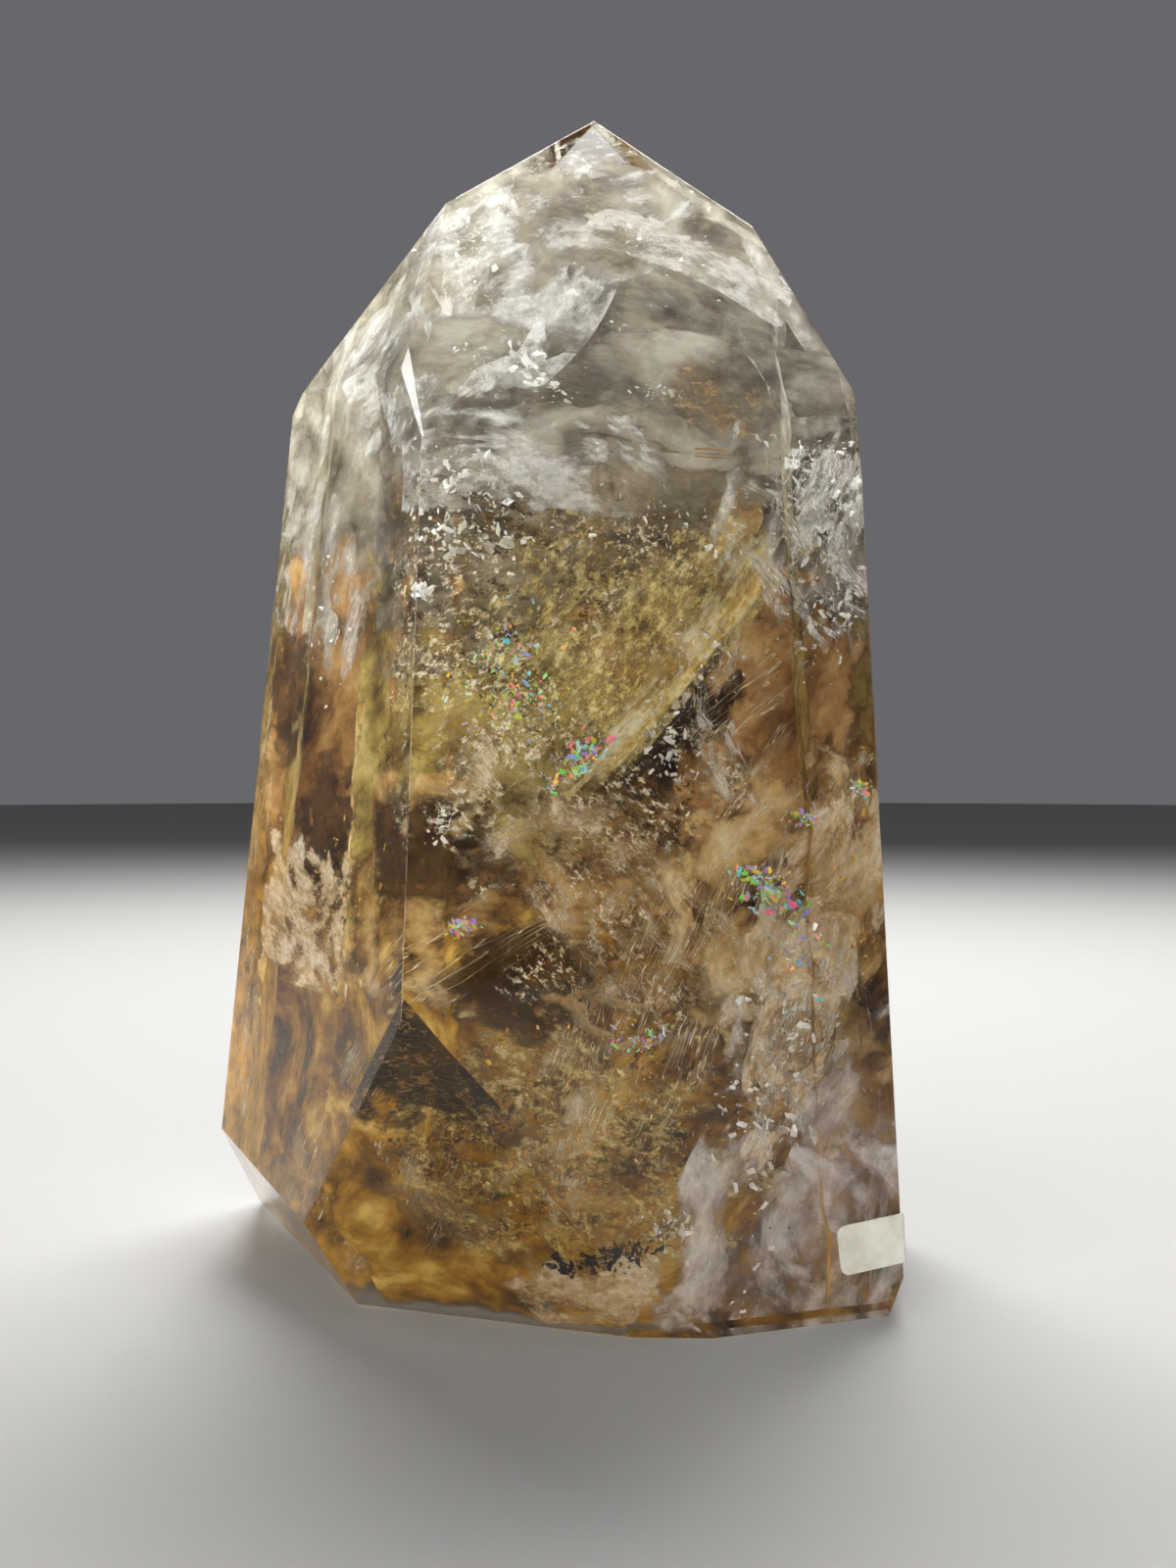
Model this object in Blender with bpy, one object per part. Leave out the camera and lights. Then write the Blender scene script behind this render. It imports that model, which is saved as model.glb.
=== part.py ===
"""Citrine crystal point: one clear quartz crystal, cut and polished to flat faces, standing on its sawn base.

Metres, +Z up. The broad front face looks towards -Y. The origin is the middle of the base's bounding box.
A small blank paper label is stuck near the foot of the front face and bends round the right-hand edge.
"""

import math

import bmesh
import bpy
from mathutils import Vector

MM = 0.001

# The crystal. Every face is cut square to one direction from the heart, a point on the stone's axis.
# Each facet is (bearing, tilt, reach): the bearing in degrees from the front, turning to the right;
# the tilt in degrees above the horizon, so that a negative one looks down; the reach in mm from the heart.
HEART_HEIGHT = 80 * MM
BLOCK_SIDE = 240 * MM

PRISM_FACETS = {
    "front": (19, 3, 45.2),
    "left": (-56.5, 3.5, 48.6),
    "back left": (-96, 7, 51.3),
    "back": (-174, 3, 31.5),
    "back right": (128, 3.5, 42),
    "right": (83, 3, 50.9),
}
TERMINATION_FACETS = {
    "front slope": (19, 32.5, 62.6),
    "left slope": (-54, 28, 69.1),
    "back left slope": (-98, 42, 73.6),
    "back slope": (-174, 38, 71.5),
    "back right slope": (127.5, 44.5, 82.5),
    "right slope": (81, 28, 72.2),
}
# Small facets that take off a corner or a bruised edge.
CORNER_FACETS = {
    "front sliver": (-5.5, 30, 71.2),
    "left shoulder": (-97, 40, 72.9),
    "left foot": (-18.5, -25, 69.4),
    "front toe": (-2.5, -21.5, 70.3),
    "left undercut": (-64.5, -32, 78.5),
    "right chamfer": (80, -22, 80.1),
}
CRYSTAL_COLOUR = (0.62, 0.43, 0.16, 1.0)
CRYSTAL_IOR = 1.544
CRYSTAL_ROUGHNESS = 0.03

# The label, a die-cut paper rectangle with round corners. Its place is measured on the front face from the
# right-hand edge: across is the distance of its middle from that edge, up is the height along it.
LABEL_WIDTH = 12.7 * MM
LABEL_HEIGHT = 7.4 * MM
LABEL_CORNER = 1.4 * MM
LABEL_TURN = math.radians(3.5)
LABEL_ACROSS = 4.6 * MM
LABEL_UP = 11.3 * MM
LABEL_THICKNESS = 0.2 * MM
LABEL_GAP = 0.3 * MM
LABEL_COLOUR = (0.86, 0.84, 0.78, 1.0)
LABEL_ROUGHNESS = 0.7
BEND_RADIUS = LABEL_GAP + LABEL_THICKNESS / 2
CORNER_STEPS = 6
BEND_STEPS = 4


def clear_scene():
    for obj in list(bpy.data.objects):
        bpy.data.objects.remove(obj, do_unlink=True)


def make_material(name, colour, roughness, transmission=0.0, ior=1.5):
    material = bpy.data.materials.new(name)
    material.use_nodes = True
    shader = material.node_tree.nodes["Principled BSDF"]
    shader.inputs["Base Color"].default_value = colour
    shader.inputs["Roughness"].default_value = roughness
    shader.inputs["Metallic"].default_value = 0.0
    shader.inputs["Transmission Weight"].default_value = transmission
    shader.inputs["IOR"].default_value = ior
    return material


def make_object(name, mesh, material):
    mesh.materials.append(material)
    obj = bpy.data.objects.new(name, mesh)
    bpy.context.collection.objects.link(obj)
    return obj


def facing(bearing, tilt):
    """The outward direction of a facet, from its bearing and tilt in degrees."""
    around = math.radians(bearing)
    above = math.radians(tilt)
    return Vector((math.sin(around) * math.cos(above), -math.cos(around) * math.cos(above), math.sin(above)))


def facet_plane(facet, heart):
    """A facet's plane as a point on it and its outward direction."""
    bearing, tilt, reach = facet
    direction = facing(bearing, tilt)
    return heart + direction * reach * MM, direction


def cut(bm, point, direction):
    """Removes what lies beyond a plane and closes the flat face that this leaves."""
    everything = bm.verts[:] + bm.edges[:] + bm.faces[:]
    done = bmesh.ops.bisect_plane(
        bm, geom=everything, dist=1e-6, plane_co=point, plane_no=direction, clear_outer=True
    )
    rim = [item for item in done["geom_cut"] if isinstance(item, bmesh.types.BMEdge)]
    bmesh.ops.contextual_create(bm, geom=rim)


def cut_crystal():
    """The crystal as a mesh on the ground, and the heart that its facets are measured from."""
    heart = Vector((0, 0, HEART_HEIGHT))
    bm = bmesh.new()
    bmesh.ops.create_cube(bm, size=BLOCK_SIDE)
    bmesh.ops.translate(bm, verts=bm.verts, vec=(0, 0, BLOCK_SIDE / 2))
    for facets in (PRISM_FACETS, TERMINATION_FACETS, CORNER_FACETS):
        for facet in facets.values():
            cut(bm, *facet_plane(facet, heart))

    low_x, high_x = (pick(v.co.x for v in bm.verts) for pick in (min, max))
    low_y, high_y = (pick(v.co.y for v in bm.verts) for pick in (min, max))
    to_middle = Vector((-(low_x + high_x) / 2, -(low_y + high_y) / 2, 0))
    bmesh.ops.translate(bm, verts=bm.verts, vec=to_middle)
    bmesh.ops.recalc_face_normals(bm, faces=bm.faces)
    mesh = bpy.data.meshes.new("citrine_point")
    bm.to_mesh(mesh)
    bm.free()
    return mesh, heart + to_middle


def corner_edge(heart):
    """The edge between the front and right faces: its foot on the ground and its direction upwards."""
    front_point, front = facet_plane(PRISM_FACETS["front"], heart)
    right_point, right = facet_plane(PRISM_FACETS["right"], heart)
    along = front.cross(right).normalized()
    if along.z < 0:
        along.negate()
    # The foot is the point of both planes that has no height.
    front_reach, right_reach = front_point.dot(front), right_point.dot(right)
    spread = front.x * right.y - front.y * right.x
    foot = Vector((
        (front_reach * right.y - right_reach * front.y) / spread,
        (right_reach * front.x - front_reach * right.x) / spread,
        0,
    ))
    return foot, along


def rounded_rectangle(width, height, corner, steps):
    """The outline's points, anticlockwise about its middle."""
    points = []
    for number, (side_x, side_y) in enumerate(((1, 1), (-1, 1), (-1, -1), (1, -1))):
        middle_x = side_x * (width / 2 - corner)
        middle_y = side_y * (height / 2 - corner)
        for step in range(steps + 1):
            angle = math.radians(90) * (number + step / steps)
            points.append((middle_x + corner * math.cos(angle), middle_y + corner * math.sin(angle)))
    return points


def front_and_right():
    """The outward directions of the two faces that the label sticks to."""
    return facing(*PRISM_FACETS["front"][:2]), facing(*PRISM_FACETS["right"][:2])


def bend_label(bm, heart):
    """Wraps the flat label, drawn in (across, up, thickness), round the edge of the crystal."""
    foot, along = corner_edge(heart)
    front, right = front_and_right()
    turn = front.angle(right)
    outwards = along.cross(front).normalized()
    onwards = along.cross(right).normalized()
    for vert in bm.verts:
        beyond, up, lift = vert.co
        height = LABEL_GAP + lift
        angle = min(max(beyond / BEND_RADIUS, 0), turn)
        normal = front * math.cos(angle) + outwards * math.sin(angle)
        flat = outwards * min(beyond, 0) + onwards * max(beyond - BEND_RADIUS * turn, 0)
        vert.co = foot + along * up + normal * height + flat


def make_label(heart):
    """The paper label: a flat die-cut sheet, scored where it bends, thickened and wrapped round the edge."""
    bm = bmesh.new()
    cosine, sine = math.cos(LABEL_TURN), math.sin(LABEL_TURN)
    outline = []
    for x, y in rounded_rectangle(LABEL_WIDTH, LABEL_HEIGHT, LABEL_CORNER, CORNER_STEPS):
        beyond = x * cosine - y * sine - LABEL_ACROSS
        up = x * sine + y * cosine + LABEL_UP
        outline.append(bm.verts.new((beyond, up, 0)))
    bm.faces.new(outline)

    front, right = front_and_right()
    for step in range(BEND_STEPS + 1):
        everything = bm.verts[:] + bm.edges[:] + bm.faces[:]
        score = (BEND_RADIUS * front.angle(right) * step / BEND_STEPS, 0, 0)
        bmesh.ops.bisect_plane(bm, geom=everything, dist=1e-7, plane_co=score, plane_no=(1, 0, 0))

    raised = bmesh.ops.extrude_face_region(bm, geom=bm.faces[:])
    top = [item for item in raised["geom"] if isinstance(item, bmesh.types.BMVert)]
    bmesh.ops.translate(bm, verts=top, vec=(0, 0, LABEL_THICKNESS))
    bend_label(bm, heart)
    bmesh.ops.recalc_face_normals(bm, faces=bm.faces)
    mesh = bpy.data.meshes.new("paper_label")
    bm.to_mesh(mesh)
    bm.free()
    return mesh


def main():
    clear_scene()
    quartz = make_material(
        "polished citrine", CRYSTAL_COLOUR, CRYSTAL_ROUGHNESS, transmission=1.0, ior=CRYSTAL_IOR
    )
    paper = make_material("white label paper", LABEL_COLOUR, LABEL_ROUGHNESS)
    crystal_mesh, heart = cut_crystal()
    make_object("citrine_point", crystal_mesh, quartz)
    make_object("paper_label", make_label(heart), paper)


main()
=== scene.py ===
import math
import random

import bmesh
import bpy
from mathutils import Matrix, Vector


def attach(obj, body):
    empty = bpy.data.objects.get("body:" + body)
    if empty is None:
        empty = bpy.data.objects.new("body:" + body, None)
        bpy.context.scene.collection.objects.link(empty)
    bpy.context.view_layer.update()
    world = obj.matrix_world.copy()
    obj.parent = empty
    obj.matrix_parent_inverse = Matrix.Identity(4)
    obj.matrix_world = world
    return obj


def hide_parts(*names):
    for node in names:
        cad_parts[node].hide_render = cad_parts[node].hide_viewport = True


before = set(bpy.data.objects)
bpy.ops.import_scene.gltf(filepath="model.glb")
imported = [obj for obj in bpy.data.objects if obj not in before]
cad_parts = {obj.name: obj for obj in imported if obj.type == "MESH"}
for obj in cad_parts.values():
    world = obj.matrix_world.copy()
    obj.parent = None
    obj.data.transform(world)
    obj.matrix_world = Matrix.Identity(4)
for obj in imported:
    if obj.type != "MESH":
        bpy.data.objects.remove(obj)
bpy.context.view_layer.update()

mm = 0.001
print("loaded", len(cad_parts), "nodes")


# colours, nodes and selection

def linear(hexColour):
    parts = [int(hexColour[i:i + 2], 16) / 255 for i in (1, 3, 5)]
    return tuple(c / 12.92 if c <= 0.04045 else ((c + 0.055) / 1.055) ** 2.4 for c in parts) + (1.0,)


def addNode(tree, kind, settings=None, links=None):
    node = tree.nodes.new(kind)
    for name, value in (settings or {}).items():
        if isinstance(name, int) or name in node.inputs:
            node.inputs[name].default_value = value
        else:
            setattr(node, name, value)
    for name, source in (links or {}).items():
        tree.links.new(source, node.inputs[name])
    return node


def startMaterial(name):
    material = bpy.data.materials.new(name)
    material.use_nodes = True
    tree = material.node_tree
    tree.nodes.clear()
    return material, tree, addNode(tree, "ShaderNodeOutputMaterial")


def addRamp(tree, source, stops):
    ramp = addNode(tree, "ShaderNodeValToRGB", None, {"Fac": source})
    bar = ramp.color_ramp.elements
    while len(bar) < len(stops):
        bar.new(0.5)
    for element, (place, colour) in zip(bar, stops):
        element.position = place
        element.color = linear(colour)
    return ramp


# a film shows its colour from both sides, and is clear where its alpha is low
def finishFilm(tree, output, body, colour, through, alpha=None):
    glow = addNode(tree, "ShaderNodeBsdfTranslucent", None, {"Color": colour})
    shown = addNode(tree, "ShaderNodeMixShader", {"Fac": through}, {1: body.outputs[0], 2: glow.outputs[0]})
    if alpha is not None:
        clear = addNode(tree, "ShaderNodeBsdfTransparent")
        shown = addNode(tree, "ShaderNodeMixShader", None,
                        {"Fac": alpha, 1: clear.outputs[0], 2: shown.outputs[0]})
    tree.links.new(shown.outputs[0], output.inputs["Surface"])


def clearSelection():
    if bpy.context.mode != "OBJECT":
        bpy.ops.object.mode_set(mode="OBJECT")
    bpy.ops.object.select_all(action="DESELECT")


def makeActive(piece):
    clearSelection()
    piece.select_set(True)
    bpy.context.view_layer.objects.active = piece


def putInScene(name, data):
    piece = bpy.data.objects.new(name, data)
    bpy.context.scene.collection.objects.link(piece)
    return piece


# stands a flat sheet up: its face looks along the bearing, leaning back by the tilt
def turnTo(bearing, tilt, roll):
    return (Matrix.Rotation(math.radians(bearing), 4, "Z")
            @ Matrix.Rotation(math.radians(90 - tilt), 4, "X")
            @ Matrix.Rotation(math.radians(roll), 4, "Z"))


# the crystal: edge is the width of the broken arris, waves are per metre (about 11 mm apart), and density is
# the strength of the honey tint
crystalShape = {"edge": 0.1 * mm, "ior": 1.544, "roughness": 0.0, "honey": (0.75, 0.577, 0.12, 1.0),
                "density": 7.5, "waves": 90.0, "waveHeight": 0.4 * mm, "waveBump": 0.02,
                "weld": 1e-6, "flatWithin": 0.3}


# clear quartz, ground and polished by hand: sharp reflections off nearly flat faces, honey where it is thick
def makeQuartz():
    material, tree, output = startMaterial("polishedHoneyQuartz")
    place = addNode(tree, "ShaderNodeTexCoord")
    wave = addNode(tree, "ShaderNodeTexNoise", {"Scale": crystalShape["waves"], "Detail": 2.0},
                   {"Vector": place.outputs["Object"]})
    bump = addNode(tree, "ShaderNodeBump", {
        "Strength": crystalShape["waveBump"], "Distance": crystalShape["waveHeight"]},
        {"Height": wave.outputs["Fac"]})
    body = addNode(tree, "ShaderNodeBsdfPrincipled", {
        "Base Color": (1, 1, 1, 1), "Roughness": crystalShape["roughness"],
        "IOR": crystalShape["ior"], "Transmission Weight": 1.0}, {"Normal": bump.outputs["Normal"]})
    tint = addNode(tree, "ShaderNodeVolumeAbsorption", {
        "Color": crystalShape["honey"], "Density": crystalShape["density"]})
    tree.links.new(body.outputs[0], output.inputs["Surface"])
    tree.links.new(tint.outputs[0], output.inputs["Volume"])
    return material


def cutCrystal():
    makeActive(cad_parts["citrine_point"])
    bpy.ops.object.duplicate()
    crystal = bpy.context.active_object
    crystal.name = "polished_crystal"
    bpy.ops.object.mode_set(mode="EDIT")
    bpy.ops.mesh.select_all(action="SELECT")
    bpy.ops.mesh.remove_doubles(threshold=crystalShape["weld"])
    bpy.ops.mesh.dissolve_limited(angle_limit=math.radians(crystalShape["flatWithin"]))
    bpy.ops.object.mode_set(mode="OBJECT")
    planes = [(face.center.copy(), face.normal.copy()) for face in crystal.data.polygons]
    edge = crystal.modifiers.new("edge", "BEVEL")
    edge.width = crystalShape["edge"]
    edge.segments = 2
    edge.limit_method = "NONE"
    bpy.ops.object.modifier_apply(modifier="edge")
    crystal.data.materials.clear()
    crystal.data.materials.append(makeQuartz())
    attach(crystal, "root")
    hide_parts("citrine_point")
    return planes


facetPlanes = cutCrystal()
print("crystal cut,", len(facetPlanes), "facets")


# cuts away what would stand within the gap of the polished surface
def trimInside(piece, gap):
    makeActive(piece)
    bpy.ops.object.mode_set(mode="EDIT")
    for centre, normal in facetPlanes:
        mesh = bmesh.from_edit_mesh(piece.data)
        reach = normal.dot(centre) - gap
        if not any(v.co.dot(normal) > reach for v in mesh.verts):
            continue
        bpy.ops.mesh.select_all(action="SELECT")
        bpy.ops.mesh.bisect(plane_co=centre - normal * gap, plane_no=normal, clear_outer=True,
                            threshold=crystalShape["weld"])
    bpy.ops.object.mode_set(mode="OBJECT")


def keepInside(piece, material):
    piece.data.materials.clear()
    piece.data.materials.append(material)
    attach(piece, "root")


# veils: films of tiny bubbles in old cracks that have healed. Each is a thin sheet whose alpha holds a soft
# body broken into grains, and fine lines that follow the flow of the film.

# what a look has unless it says otherwise: drift and grain in mm, fade is the width of its ragged rim
plainLook = {"drift": 5, "grain": (2.4, 1.6), "fade": 0.5, "fibre": 0.0, "glint": 0.1, "roughness": 0.5,
             "metal": 0.0, "shine": 0.3, "through": 0.5}
veilNoise = {"cloud": (4.0, 0.58), "thread": (2.0, 0.55), "grain": (4.0, 0.78)}  # detail and roughness
veilPattern = {"driftSize": 22, "sandFrom": 0.4, "sandTo": 0.6, "linesFrom": -0.14, "linesTo": 0.06,
               "ragged": 2.6, "rimFrom": 0.1, "toneStops": (0.38, 0.46, 0.55, 0.66)}


def makeVeilMaterial(name, look):
    look = {**plainLook, **look}
    material, tree, output = startMaterial(name)
    sheet = addNode(tree, "ShaderNodeUVMap", {"uv_map": "sheet"})
    rim = addNode(tree, "ShaderNodeAttribute", {"attribute_name": "rim"})
    wide = 1 / veilPattern["driftSize"]
    slow = addNode(tree, "ShaderNodeMapping", {"Scale": (wide, wide, 1)}, {"Vector": sheet.outputs[0]})
    drift = addNode(tree, "ShaderNodeTexNoise", {"Scale": 1.0, "Detail": 0.0}, {"Vector": slow.outputs[0]})
    centred = addNode(tree, "ShaderNodeVectorMath", {"operation": "SUBTRACT", 1: (0.5, 0.5, 0.5)},
                      {0: drift.outputs["Color"]})
    push = addNode(tree, "ShaderNodeVectorMath", {"operation": "SCALE", "Scale": look["drift"]},
                   {0: centred.outputs[0]})
    flow = addNode(tree, "ShaderNodeVectorMath", {"operation": "ADD"},
                   {0: sheet.outputs[0], 1: push.outputs[0]})

    patterns = {}
    for key, (detail, rough) in veilNoise.items():
        if key == "thread" and not look["fibre"]:
            continue
        along, across = look[key]
        scaled = addNode(tree, "ShaderNodeMapping", {"Scale": (1 / along, 1 / across, 1)},
                         {"Vector": flow.outputs[0]})
        noise = addNode(tree, "ShaderNodeTexNoise", {"Scale": 1.0, "Detail": detail, "Roughness": rough},
                        {"Vector": scaled.outputs[0]})
        patterns[key] = noise.outputs["Fac"]

    # the body, broken into grains
    coverFrom, coverTo = look["cover"]
    solid = addNode(tree, "ShaderNodeMapRange", {
        "interpolation_type": "SMOOTHSTEP", "From Min": coverFrom, "From Max": coverTo,
        "To Max": look["body"]}, {"Value": patterns["cloud"]})
    sandy = addNode(tree, "ShaderNodeMapRange", {
        "From Min": veilPattern["sandFrom"], "From Max": veilPattern["sandTo"], "To Min": 1 - look["sand"]},
        {"Value": patterns["grain"]})
    filled = addNode(tree, "ShaderNodeMath", {"operation": "MULTIPLY"},
                     {0: solid.outputs[0], 1: sandy.outputs[0]})
    # fine lines, where the thread noise crosses its middle
    if look["fibre"]:
        level = addNode(tree, "ShaderNodeMath", {"operation": "SUBTRACT", 1: 0.5}, {0: patterns["thread"]})
        apart = addNode(tree, "ShaderNodeMath", {"operation": "ABSOLUTE"}, {0: level.outputs[0]})
        line = addNode(tree, "ShaderNodeMapRange", {
            "interpolation_type": "SMOOTHSTEP", "From Max": look["line"], "To Min": 1.0, "To Max": 0.0},
            {"Value": apart.outputs[0]})
        near = addNode(tree, "ShaderNodeMapRange", {
            "From Min": coverFrom + veilPattern["linesFrom"], "From Max": coverFrom + veilPattern["linesTo"],
            "To Max": look["fibre"]}, {"Value": patterns["cloud"]})
        drawn = addNode(tree, "ShaderNodeMath", {"operation": "MULTIPLY"},
                        {0: line.outputs[0], 1: near.outputs[0]})
        filled = addNode(tree, "ShaderNodeMath", {"operation": "MAXIMUM"},
                         {0: filled.outputs[0], 1: drawn.outputs[0]})
    # the rim, made ragged by the cloud
    ragged = addNode(tree, "ShaderNodeMath", {
        "operation": "MULTIPLY_ADD", 1: veilPattern["ragged"], 2: -veilPattern["ragged"] / 2},
        {0: patterns["cloud"]})
    reach = addNode(tree, "ShaderNodeMath", {"operation": "ADD"},
                    {0: rim.outputs["Fac"], 1: ragged.outputs[0]})
    fade = addNode(tree, "ShaderNodeMapRange", {
        "interpolation_type": "SMOOTHSTEP", "From Min": veilPattern["rimFrom"],
        "From Max": veilPattern["rimFrom"] + look["fade"]}, {"Value": reach.outputs[0]})
    alpha = addNode(tree, "ShaderNodeMath", {"operation": "MULTIPLY", "use_clamp": True},
                    {0: filled.outputs[0], 1: fade.outputs[0]})

    # the tone, from cloud and grain, and lighter on a line
    most = addNode(tree, "ShaderNodeMath", {"operation": "MULTIPLY", 1: 1 - look["speckle"]},
                   {0: patterns["cloud"]})
    mixed = addNode(tree, "ShaderNodeMath", {"operation": "MULTIPLY_ADD", 1: look["speckle"]},
                    {0: patterns["grain"], 2: most.outputs[0]})
    if look["fibre"]:
        mixed = addNode(tree, "ShaderNodeMath", {"operation": "MULTIPLY_ADD", 1: look["glint"]},
                        {0: line.outputs[0], 2: mixed.outputs[0]})
    paint = addRamp(tree, mixed.outputs[0], list(zip(veilPattern["toneStops"], look["tones"])))
    body = addNode(tree, "ShaderNodeBsdfPrincipled", {
        "Roughness": look["roughness"], "Metallic": look["metal"], "Specular IOR Level": look["shine"]},
        {"Base Color": paint.outputs["Color"]})
    finishFilm(tree, output, body, paint.outputs["Color"], look["through"], alpha.outputs[0])
    return material


# sizes are in mm: cloud, thread and grain give the pattern along and across the sheet
veilLooks = {
    # smooth beds lie deep in

    # milky quartz, clouded by bubbles as it grew: a soft white depth
    "milkBed": dict(tones=("#756d63", "#aba399", "#e3ded7", "#ffffff"), cloud=(20, 12), cover=(0.22, 0.4),
                    body=0.96, sand=0.06, speckle=0.2, through=0.6),
    # smoky quartz: the grey-brown core of the top
    "taupeBed": dict(tones=("#463e36", "#6c6358", "#948b7e", "#bfb8ac"), cloud=(16, 10),
                     cover=(0.22, 0.4), body=0.94, sand=0.06, speckle=0.2),
    # a zone stained by iron: the olive depth of the upper body
    "oliveBed": dict(tones=("#463a14", "#8e7a3c", "#c4b065", "#efe3a0"), cloud=(16, 10),
                     cover=(0.22, 0.4), body=0.96, sand=0.06, speckle=0.2),
    # an amber growth zone: warmth behind the right and left edges
    "amberBed": dict(tones=("#6c4720", "#9a6f3a", "#c2955a", "#e6c48a"), cloud=(15, 9), cover=(0.22, 0.4),
                     body=0.96, sand=0.06, speckle=0.16),
    # a paler growth zone: the light tan middle
    "tanBed": dict(tones=("#523818", "#ac864c", "#e2c286", "#fff0cc"), cloud=(14, 9), cover=(0.22, 0.4),
                   body=0.96, sand=0.06, speckle=0.18),
    # the deepest colour zone: dark gold at the foot
    "honeyBed": dict(tones=("#2e1f06", "#785212", "#b08428", "#f0cc70"), cloud=(18, 11),
                     cover=(0.22, 0.4), body=0.96, sand=0.04, speckle=0.12),

    # thin films nearer the surface

    # a healed crack full of fine bubbles: white streaks and haze
    "milkyVeil": dict(tones=("#b3aca3", "#dcd7d0", "#faf8f5", "#ffffff"), cloud=(14, 5), thread=(10, 1.4),
                      line=0.016, cover=(0.46, 0.7), body=0.85, sand=0.6, fibre=0.45, speckle=0.5,
                      through=0.6),
    # clear smoky stone between veils, a dark window to look into: partly the stone's own brown, partly
    # painted shade for the dark seen through it
    "smokeAndShadePatch": dict(tones=("#150c06", "#24160b", "#3b2714", "#6e4f2c"), cloud=(10, 7), thread=(7, 1.2),
                       line=0.005, cover=(0.34, 0.46), body=0.9, sand=0.1, fibre=0.15, speckle=0.35,
                       through=0.25, shine=0.0),
    # the same with bubbles in it: dark with pale specks, the dark partly smoky stone and partly painted shade
    "speckledSmokeAndShade": dict(tones=("#1d120a", "#44301a", "#8a6f48", "#cdb58a"), cloud=(8, 5),
                          thread=(5, 1.0), line=0.008, cover=(0.36, 0.5), body=0.8, sand=0.8, fibre=0.3,
                          speckle=0.6, shine=0.1, drift=6),
    # a granular healed crack: grainy olive gold
    "goldVeil": dict(tones=("#5c481c", "#a58b46", "#dac67e", "#fff6c8"), cloud=(15, 9), thread=(5, 1.0),
                     line=0.01, cover=(0.2, 0.46), body=0.75, sand=0.8, fibre=0.3, speckle=0.6),
    # the edge of that crack, end on: one bright gold line
    "goldSeam": dict(tones=("#c9963c", "#f2cc6c", "#fff0b4", "#fffdf0"), cloud=(12, 3), thread=(14, 0.6),
                     line=0.03, cover=(0.16, 0.3), body=0.95, sand=0.4, fibre=1.0, speckle=0.5, drift=2,
                     through=0.6, fade=0.9),
    # hair-fine tubes side by side: gold threads
    "goldFibre": dict(tones=("#7d5826", "#c0985a", "#ecd196", "#fff8e0"), cloud=(18, 6), thread=(18, 1.0),
                      line=0.022, cover=(0.5, 0.72), body=0.45, sand=0.5, fibre=0.85, speckle=0.35,
                      drift=6),
    # a thin veil that drifted as it healed: tan wisps
    "tanWisp": dict(tones=("#75582f", "#b8986a", "#e6cfa8", "#fff6e6"), cloud=(12, 7), thread=(9, 1.1),
                    line=0.02, cover=(0.46, 0.66), body=0.6, sand=0.6, fibre=0.7, speckle=0.45, drift=10),
    # a dense veil with a ragged edge: cream feathers and fans
    "creamVeil": dict(tones=("#a5804c", "#d0b07d", "#efdab6", "#fff8ea"), cloud=(12, 6), thread=(9, 1.0),
                      line=0.02, cover=(0.34, 0.52), body=0.82, sand=0.3, fibre=0.8, speckle=0.35,
                      fade=0.3, drift=9),
    # a curved white veil: the pale bow under the tip
    "creamCrescent": dict(tones=("#b0a698", "#d4cdc2", "#f2eee8", "#ffffff"), cloud=(9, 5),
                          thread=(5, 1.0), line=0.01, cover=(0.34, 0.56), body=0.85, sand=0.3, fibre=0.4,
                          speckle=0.5, through=0.6, fade=0.2),
    # painted shade: a dark film right behind a small facet stands in for the dark seen through that facet, a
    # black triangle
    "paintedShadeFilm": dict(tones=("#040201", "#0c0603", "#20130a", "#8c6a35"), cloud=(8, 5), thread=(4, 1.2),
                      line=0.012, cover=(0.2, 0.32), body=0.95, sand=0.1, fibre=0.8, speckle=0.45,
                      through=0.05, shine=0.0, roughness=1.0, glint=0.2),
    # dense milk close to the surface: the brightest white
    "glowBed": dict(tones=("#b7b1a8", "#e2ded8", "#ffffff", "#ffffff"), cloud=(16, 7), thread=(12, 1.2),
                    line=0.014, cover=(0.34, 0.56), body=0.92, sand=0.35, fibre=0.5, speckle=0.4,
                    through=0.65),
    # a fresh crack with air in it: streaks, their silver sheen a painted reflection in near-white tones
    "silverCrack": dict(tones=("#a8a090", "#dcd4c4", "#fffaf0", "#ffffff"), cloud=(9, 4), thread=(5, 0.7),
                        line=0.03, cover=(0.5, 0.6), body=0.55, sand=0.7, fibre=0.9, speckle=0.5,
                        roughness=0.3, metal=0.1, drift=8, grain=(3.0, 1.0)),
    # bubbles far apart: pale specks, drawn larger than real ones so that they show
    "paleDust": dict(tones=("#c09a50", "#dcc080", "#fff0c4", "#ffffff"), cloud=(14, 9), thread=(6, 1.0),
                     line=0.008, cover=(0.36, 0.6), body=0.9, sand=2.4, fibre=0.2, speckle=0.7,
                     grain=(1.5, 1.1), drift=3),
    # mineral dust: dark specks, drawn larger than real ones so that they show
    "darkDust": dict(tones=("#1c1005", "#2c1a09", "#3a240f", "#54381a"), cloud=(10, 7), thread=(6, 1.0),
                     line=0.004, cover=(0.4, 0.6), body=0.9, sand=2.2, fibre=0.1, speckle=0.7,
                     grain=(1.8, 1.2), drift=3, through=0.2, shine=0.0),
    # a phantom, where growth stopped for a time: a cool lilac bloom
    "lilacGhost": dict(tones=("#9a837a", "#c0afa9", "#e2d8d5", "#ffffff"), cloud=(15, 9), thread=(8, 1.2),
                       line=0.012, cover=(0.34, 0.64), body=0.82, sand=0.15, fibre=0.4, speckle=0.3),
}
veilMaterials = {name: makeVeilMaterial(name, look) for name, look in veilLooks.items()}

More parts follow.
